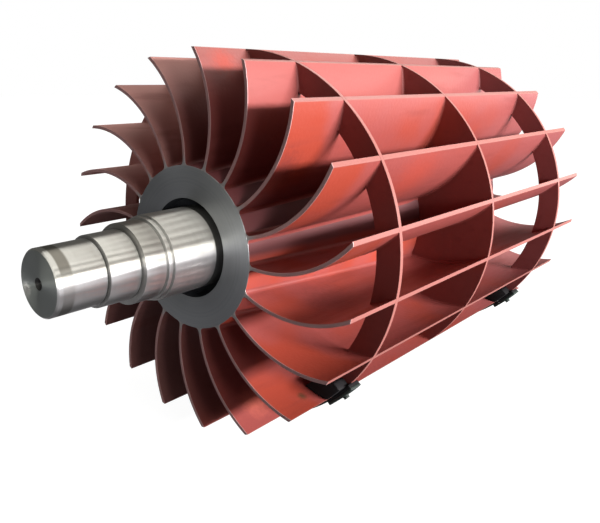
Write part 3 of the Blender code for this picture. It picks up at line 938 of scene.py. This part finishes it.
def ground_steel():
    """Bare shaft, ground round its line, with a duller band by its end and painted shade in its grooves,
    recess and centre holes.
    """
    material, tree, shader = new_material("bright_steel")
    place, _, y, z, distance = on_rotor(tree)
    lines = turned_lines(tree, y, distance, SHAFT_LINES)
    stains = patches(tree, place, *SHAFT_STAINS)
    colour = blend(tree, fade(tree, lines, *SHAFT_LINE_AMOUNT), STEEL_BRIGHT, STEEL_SHADE)
    colour = blend(tree, fade(tree, stains, *SHAFT_STAIN_AMOUNT), colour, STEEL_STAIN)

    # The dull band, darker on top and below.
    from_end = worked_out(tree, "SUBTRACT", y, SHAFT_FRONT_Y)
    dull = product(
        tree, fade(tree, from_end, *DULL_BAND_STARTS), fade(tree, from_end, *DULL_BAND_ENDS))
    colour = blend(tree, product(tree, dull, DULL_BAND_STAIN), colour, STEEL_STAIN)
    top_and_bottom = worked_out(
        tree, "ADD", fade(tree, z, *DULL_BAND_DARKER_TO_TOP), fade(tree, z, *DULL_BAND_DARKER_TO_BOTTOM))
    colour = blend(tree, product(tree, dull, top_and_bottom), colour, STEEL_DARKER_TONE)

    # The third step is greyer on top.
    third_step = between(
        tree, y, FRONT_FACE_Y - SECOND_SHOULDER - GREY_STEP_SOFTNESS,
        THIRD_STEP_END - GREY_STEP_SOFTNESS, GREY_STEP_SOFTNESS)
    grey_top = product(tree, third_step, fade(tree, z, *GREY_STEP_TO_TOP))
    colour = blend(tree, grey_top, colour, STEEL_DARKER_TONE)

    # The dark front end face with a painted highlight left of its centre hole, and the painted shade.
    face = fade(tree, from_end, *END_FACE_EDGE)
    painted_highlight = smear(tree, place, PAINTED_HIGHLIGHT_SPOT, PAINTED_HIGHLIGHT_REACH)
    painted_shade = shaft_painted_shade(tree, y, distance)
    colour = blend(tree, face, colour, SHAFT_FACE_GREY)
    colour = blend(tree, product(tree, painted_highlight, face), colour, STEEL_BRIGHT)
    colour = blend(tree, product(tree, painted_shade, PAINTED_SHADE_SHARE), colour, PAINTED_SHADE_STEEL)
    tree.links.new(colour, shader.inputs["Base Color"])
    matt_face = product(tree, face, worked_out(tree, "MULTIPLY_ADD", painted_highlight, -PAINTED_HIGHLIGHT_SHINE, 1.0))
    dead = larger(tree, matt_face, painted_shade)
    metallic = worked_out(tree, "MULTIPLY_ADD", dead, -DEAD_METALLIC_LOSS, 1.0)
    tree.links.new(metallic, shader.inputs["Metallic"])

    shader.inputs["Anisotropic"].default_value = SHAFT_ANISOTROPY
    lathe_marks_round_shaft(tree, shader)
    roughness = fade(tree, y, *SHAFT_ROUGHNESS_TO_HUB)
    roughness = worked_out(tree, "ADD", roughness, fade(tree, lines, *SHAFT_LINE_ROUGHNESS))
    roughness = worked_out(tree, "ADD", roughness, product(tree, dull, DULL_BAND_ROUGHER))
    roughness = larger(tree, roughness, product(tree, dead, DEAD_ROUGHNESS))
    tree.links.new(roughness, shader.inputs["Roughness"])
    return material


def hub_steel():
    """Machined end face of the hub, its primer-painted cone with painted shade on top, and its recess,
    blackened as painted shade.
    """
    material, tree, shader = new_material("hub_steel")
    place, _, y, z, distance = on_rotor(tree)
    lines = turned_lines(tree, y, distance, HUB_LINES)
    clouds = patches(tree, place, *HUB_CLOUDS)
    machined = blend(tree, fade(tree, lines, *EVEN_MIX), HUB_FACE_LIGHT, HUB_FACE_DARK)
    machined = blend(tree, fade(tree, clouds, *HUB_STAIN_AMOUNT), machined, HUB_FACE_STAIN)
    painted = blend(tree, fade(tree, clouds, *EVEN_MIX), PRIMER_ORANGE, PRIMER_ROSE)
    # Painted shade on the cone's upper side.
    painted = blend(tree, fade(tree, z, *PAINTED_SHADE_CONE_TO_TOP), painted, PAINTED_SHADE_CONE)
    ends = at_open_ends(tree, y, HUB_END_DEPTH)
    colour = blend(tree, ends, painted, machined)
    off_ends = worked_out(tree, "SUBTRACT", 1.0, ends)
    # The recess is painted black as shade.
    in_recess = product(tree, fade(tree, distance, *RECESS_EDGE), off_ends)
    tree.links.new(blend(tree, in_recess, colour, PAINTED_SHADE_RECESS), shader.inputs["Base Color"])
    tree.links.new(product(tree, ends, HUB_FACE_METALLIC), shader.inputs["Metallic"])
    roughness = worked_out(tree, "MULTIPLY_ADD", ends, -HUB_FACE_SMOOTHER, HUB_PAINT_ROUGHNESS)
    tree.links.new(roughness, shader.inputs["Roughness"])
    shader.inputs["Specular IOR Level"].default_value = MATT_SPECULAR
    shader.inputs["Anisotropic"].default_value = HUB_ANISOTROPY
    lathe_marks_round_shaft(tree, shader)
    return material


def black_rubber():
    """Black rubber of the linings and chocks, slightly dusty."""
    material, tree, shader = new_material("black_rubber")
    place = on_rotor(tree)[0]
    dust = patches(tree, place, *RUBBER_CLOUDS)
    colour = blend(tree, fade(tree, dust, *RUBBER_DUST_AMOUNT), RUBBER_BLACK, RUBBER_DUST)
    tree.links.new(colour, shader.inputs["Base Color"])
    tree.links.new(fade(tree, dust, *RUBBER_ROUGHNESS), shader.inputs["Roughness"])
    shader.inputs["Specular IOR Level"].default_value = RUBBER_SPECULAR
    relief(tree, shader, patches(tree, place, *RUBBER_GRAIN), GRAIN_HEIGHT)
    return material


def green_paint():
    """Dark green paint on the cradles, rubbed and dusty."""
    material, tree, shader = new_material("green_paint")
    place = on_rotor(tree)[0]
    wear = patches(tree, place, *GREEN_WEAR)
    clouds = patches(tree, place, *GREEN_CLOUDS)
    colour = blend(tree, fade(tree, clouds, *GREEN_CLOUD_AMOUNT), GREEN_PAINT, GREEN_DARK)
    colour = blend(tree, fade(tree, wear, *GREEN_WEAR_AMOUNT), colour, GREEN_WORN)
    tree.links.new(colour, shader.inputs["Base Color"])
    tree.links.new(fade(tree, wear, *GREEN_ROUGHNESS), shader.inputs["Roughness"])
    relief(tree, shader, patches(tree, place, *GREEN_PEEL), GRAIN_HEIGHT)
    return material


# Pieces of the rotor and its cradles

primer = red_primer()
steel = ground_steel()
hub_metal = hub_steel()
rubber = black_rubber()
green = green_paint()

shaft_piece = finished("finished_shaft", shaft_shape(), steel, "bright_steel", ["shaft"])
hub_piece = finished("finished_hub", hub_shape(), hub_metal, "hub_steel", ["hub"])
even_shading(finished(
    "finished_disc",
    washer_shape(HUB_LAND_RADIUS, TIP_RADIUS, disc_low.y, disc_high.y),
    primer, "red_primer", ["centre_disc"],
))
for end_name, end_y in (("front", FRONT_FACE_Y), ("back", BACK_FACE_Y)):
    inward = 1 if end_y < DISC_Y else -1
    ring_low, ring_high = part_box(f"{end_name}_ring")
    ring = finished(
        f"finished_{end_name}_ring",
        washer_shape(RING_INNER_RADIUS, TIP_RADIUS, ring_low.y, ring_high.y),
        primer, "red_primer", [f"{end_name}_ring"],
    )
    even_shading(ring)
    for number in range(BLADE_COUNT):
        blade = finished(
            f"finished_{end_name}_blade_{number + 1:02d}",
            blade_shape(end_y, ring_low.y, ring_high.y, FIRST_BLADE_ANGLE + number * BLADE_PITCH),
            primer, "red_primer", [f"{end_name}_blade_{number + 1:02d}"],
        )
        even_shading(blade)
    finished(f"{end_name}_hub_welds", hub_welds_shape(end_y), primer, "red_primer")
    disc_face = DISC_Y - inward * DISC_HALF
    finished(
        f"{end_name}_disc_welds",
        plate_welds_shape(
            disc_face, -inward, HUB_LAND_RADIUS, DISC_WELD_STOP, DISC_WELD_LEG),
        primer, "red_primer",
    )
    for side_name, face_y, away in (("near", ring_low.y, -1), ("far", ring_high.y, 1)):
        finished(
            f"{end_name}_ring_{side_name}_welds",
            plate_welds_shape(face_y, away, RING_WELD_START, RING_WELD_STOP, RING_WELD_LEG),
            primer, "red_primer",
        )
for end_name in ("front", "back"):
    for part_name, runs, material, slot, edge_break in (
        ("cradle", cradle_runs(), green, "green_paint", EDGE_BREAK),
        ("cradle_lining", lining_runs(), rubber, "black_rubber", LINING_EDGE_BREAK),
        ("chock", chock_runs(), rubber, "black_rubber", CHOCK_EDGE_BREAK),
    ):
        part_low, part_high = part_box(f"{end_name}_{part_name}")
        shape = thick_outline(runs, part_low.y, part_high.y - part_low.y, edge_break)
        finished(f"finished_{end_name}_{part_name}", shape, material, slot, [f"{end_name}_{part_name}"])
    cradle_low, cradle_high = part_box(f"{end_name}_cradle")
    bolts = clamp_bolts_shape((cradle_low.y + cradle_high.y) / 2)
    finished(f"{end_name}_clamp_bolts", bolts, green, "green_paint")


# Camera at the photograph's angle

CAMERA_PLACE = (1.3711, -2.0452, 1.1354)
CAMERA_TURN = (math.radians(74.827), 0.0, math.radians(46.844))
CAMERA_LENS = 37.27
CAMERA_SENSOR = 36.0
CAMERA_SHIFT = (0.1853, -0.0206)

camera_data = bpy.data.cameras.new("camera")
camera_data.lens = CAMERA_LENS
camera_data.sensor_width = CAMERA_SENSOR
camera_data.shift_x, camera_data.shift_y = CAMERA_SHIFT
camera = bpy.data.objects.new("camera", camera_data)
camera.location = CAMERA_PLACE
camera.rotation_euler = CAMERA_TURN
bpy.context.scene.collection.objects.link(camera)
bpy.context.scene.camera = camera
bpy.context.scene.view_settings.view_transform = "Standard"


# Panels of light

LIGHT_DISTANCE = 7.0
# Each panel's name, azimuth and elevation in degrees, width, height and radiance. Azimuth 0 is in
# front and 90 on the right.
ROOM_PANELS = (
    ("long_window", 100.0, 12.5, 4.0, 0.8, 136.0),
    ("side_window", 76.0, 12.0, 3.0, 2.0, 7.0),
    ("roof_light", 180.0, 45.0, 6.0, 3.0, 2.6),
    ("left_fill", 285.0, 28.0, 6.0, 3.5, 1.1),
)
HUB_PANEL = ("hub_card", 55.0, 8.0, 1.6, 1.6, 42.0)


def softbox(name, azimuth, elevation, width, height, radiance, lit_pieces):
    """A soft panel that faces the rotor and lights some of its pieces."""
    across = math.radians(azimuth)
    up = math.radians(elevation)
    away = Vector((
        math.sin(across) * math.cos(up), -math.cos(across) * math.cos(up), math.sin(up),
    ))
    panel = bpy.data.lights.new(name, "AREA")
    panel.shape = "RECTANGLE"
    panel.size = width
    panel.size_y = height
    panel.energy = radiance * math.pi * width * height
    light = bpy.data.objects.new(name, panel)
    light.location = SHAFT_LINE + away * LIGHT_DISTANCE
    light.rotation_mode = "QUATERNION"
    light.rotation_quaternion = away.to_track_quat("Z", "Y")
    light.visible_camera = False
    light.light_linking.receiver_collection = lit_pieces
    bpy.context.scene.collection.objects.link(light)


# The room's panels light everything but the polished shaft, which mirrors the room alone.
all_but_shaft = bpy.data.collections.new("all_but_shaft")
all_but_shaft.objects.link(shaft_piece)
all_but_shaft.collection_objects[0].light_linking.link_state = "EXCLUDE"
for room_panel in ROOM_PANELS:
    softbox(*room_panel, all_but_shaft)

# A small panel that only draws the sheen across the hub's turned face.
turned_faces = bpy.data.collections.new("turned_faces")
turned_faces.objects.link(hub_piece)
softbox(*HUB_PANEL, turned_faces)


# Floor

FLOOR_HALF = 40.0
FLOOR_GREY = (0.12, 0.12, 0.12, 1.0)
FLOOR_ROUGHNESS = 0.9
FLOOR_GLOW = 0.95
WHITE = (1.0, 1.0, 1.0, 1.0)

floor_shape = bmesh.new()
bmesh.ops.create_grid(floor_shape, x_segments=1, y_segments=1, size=FLOOR_HALF)
floor_mesh = bpy.data.meshes.new("floor")
floor_shape.to_mesh(floor_mesh)
floor_shape.free()
floor = bpy.data.objects.new("floor", floor_mesh)
bpy.context.scene.collection.objects.link(floor)
floor_paint, _, floor_shader = new_material("pale_floor")
floor_shader.inputs["Base Color"].default_value = FLOOR_GREY
floor_shader.inputs["Roughness"].default_value = FLOOR_ROUGHNESS
floor_shader.inputs["Emission Color"].default_value = WHITE
floor_shader.inputs["Emission Strength"].default_value = FLOOR_GLOW
floor_mesh.materials.append(floor_paint)
floor.visible_diffuse = False
floor.visible_glossy = False
floor.visible_shadow = False


# The room round the rotor: soft light on matt surfaces, and what its gloss mirrors, which goes by the
# angle round the shaft's line, from straight right through the top

SKY_FRONT = 0.05
SKY_BACK = 0.86
SKY_BELOW = 0.20
HORIZON_SOFTNESS = 0.05
FRONT_SOFTNESS = 0.35
GLOSS_BASE = 0.11
# Where each band starts and stops and how soft its edges are, in degrees, then its brightness.
GLOSS_BANDS = (
    (54.0, 124.0, 3.0, 0.98),       # pale ceiling
    (10.0, 60.0, 3.0, 0.44),        # wall over the window
    (35.0, 46.0, 1.5, 0.85),        # lit strip along that wall
    (-8.0, 22.0, 4.0, 3.20),        # window
    (-28.0, -4.0, 10.0, 0.85),      # floor by the window
    (-82.0, -22.0, 14.0, 0.26),     # floor under the shaft
    (-148.0, -134.0, 4.0, 0.35),    # far edge of the floor
)
CREAM = (1.0, 0.98, 0.90)
LAVENDER = (0.98, 0.96, 1.0)

world = bpy.data.worlds.new("studio")
bpy.context.scene.world = world
world.use_nodes = True
sky = world.node_tree
sky.nodes.clear()
direction = sky.nodes.new("ShaderNodeTexCoord")
axes = sky.nodes.new("ShaderNodeSeparateXYZ")
sky.links.new(direction.outputs["Generated"], axes.inputs["Vector"])
rays = sky.nodes.new("ShaderNodeLightPath")

above_horizon = fade(sky, axes.outputs["Z"], -HORIZON_SOFTNESS, HORIZON_SOFTNESS)
sky_level = fade(sky, axes.outputs["Y"], -FRONT_SOFTNESS, FRONT_SOFTNESS, SKY_FRONT, SKY_BACK)
more_than_below = worked_out(sky, "SUBTRACT", sky_level, SKY_BELOW)
soft_level = worked_out(sky, "MULTIPLY_ADD", more_than_below, above_horizon, SKY_BELOW)

round_angle = worked_out(sky, "ARCTAN2", axes.outputs["Z"], axes.outputs["X"])
gloss_level = GLOSS_BASE
for start, stop, softness, brightness in GLOSS_BANDS:
    band = between(sky, round_angle, math.radians(start), math.radians(stop), math.radians(softness))
    gloss_level = worked_out(sky, "MULTIPLY_ADD", band, brightness, gloss_level)

gloss_over_soft = worked_out(sky, "SUBTRACT", gloss_level, soft_level)
level = worked_out(sky, "MULTIPLY_ADD", gloss_over_soft, rays.outputs["Is Glossy Ray"], soft_level)
lit = sky.nodes.new("ShaderNodeBackground")
sky.links.new(blend(sky, above_horizon, LAVENDER, CREAM), lit.inputs["Color"])
sky.links.new(level, lit.inputs["Strength"])
seen = sky.nodes.new("ShaderNodeBackground")
seen.inputs["Color"].default_value = WHITE
either = sky.nodes.new("ShaderNodeMixShader")
sky.links.new(rays.outputs["Is Camera Ray"], either.inputs[0])
sky.links.new(lit.outputs["Background"], either.inputs[1])
sky.links.new(seen.outputs["Background"], either.inputs[2])
surface = sky.nodes.new("ShaderNodeOutputWorld")
sky.links.new(either.outputs["Shader"], surface.inputs["Surface"])
